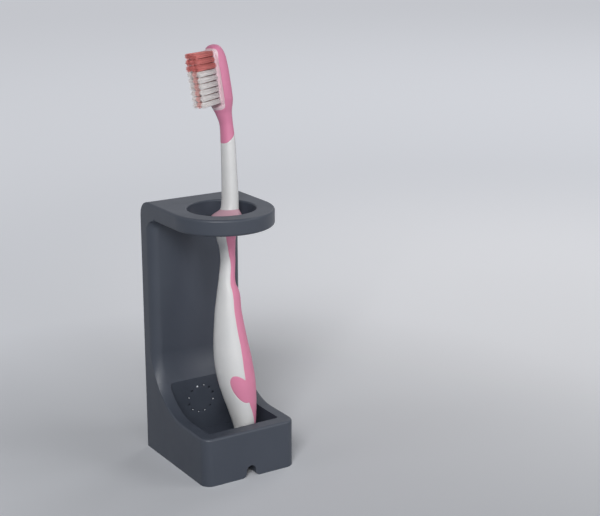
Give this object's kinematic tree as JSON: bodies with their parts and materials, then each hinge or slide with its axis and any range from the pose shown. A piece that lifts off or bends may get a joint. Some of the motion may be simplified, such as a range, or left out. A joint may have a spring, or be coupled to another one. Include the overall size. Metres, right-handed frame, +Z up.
{
  "type": "toothbrush holder",
  "caption": "Upright one-piece stand with a round-fronted ring shelf over a walled pocket, holding a removable toothbrush with a soft grip and tufted head.",
  "frame": {"origin": "middle of the holder's footprint, on the surface that it stands on", "axes": "+X to the right seen from the front, +Y to the back face, +Z up"},
  "size_m": [0.04, 0.048, 0.1614],
  "materials": {
    "holder_plastic": "matt",
    "handle_plastic": "satin",
    "soft_grip": "satin",
    "soft_head": "satin",
    "coral_bristle": "matt",
    "white_bristle": "matt"
  },
  "bodies": {
    "holder": {"holder_body": "holder_plastic"},
    "brush": {"handle_core": "handle_plastic", "grip": "soft_grip", "head_cover": "soft_head", "bristles_tip": "coral_bristle", "bristles_middle": "coral_bristle", "bristles_left": "white_bristle", "bristles_right": "white_bristle"}
  },
  "joints": [
    {"name": "brush_lift", "type": "slide", "parent": "holder", "child": "brush", "axis": [0.0293, 0.1341, 0.9905], "range_m": [0, 0.11]}
  ]
}
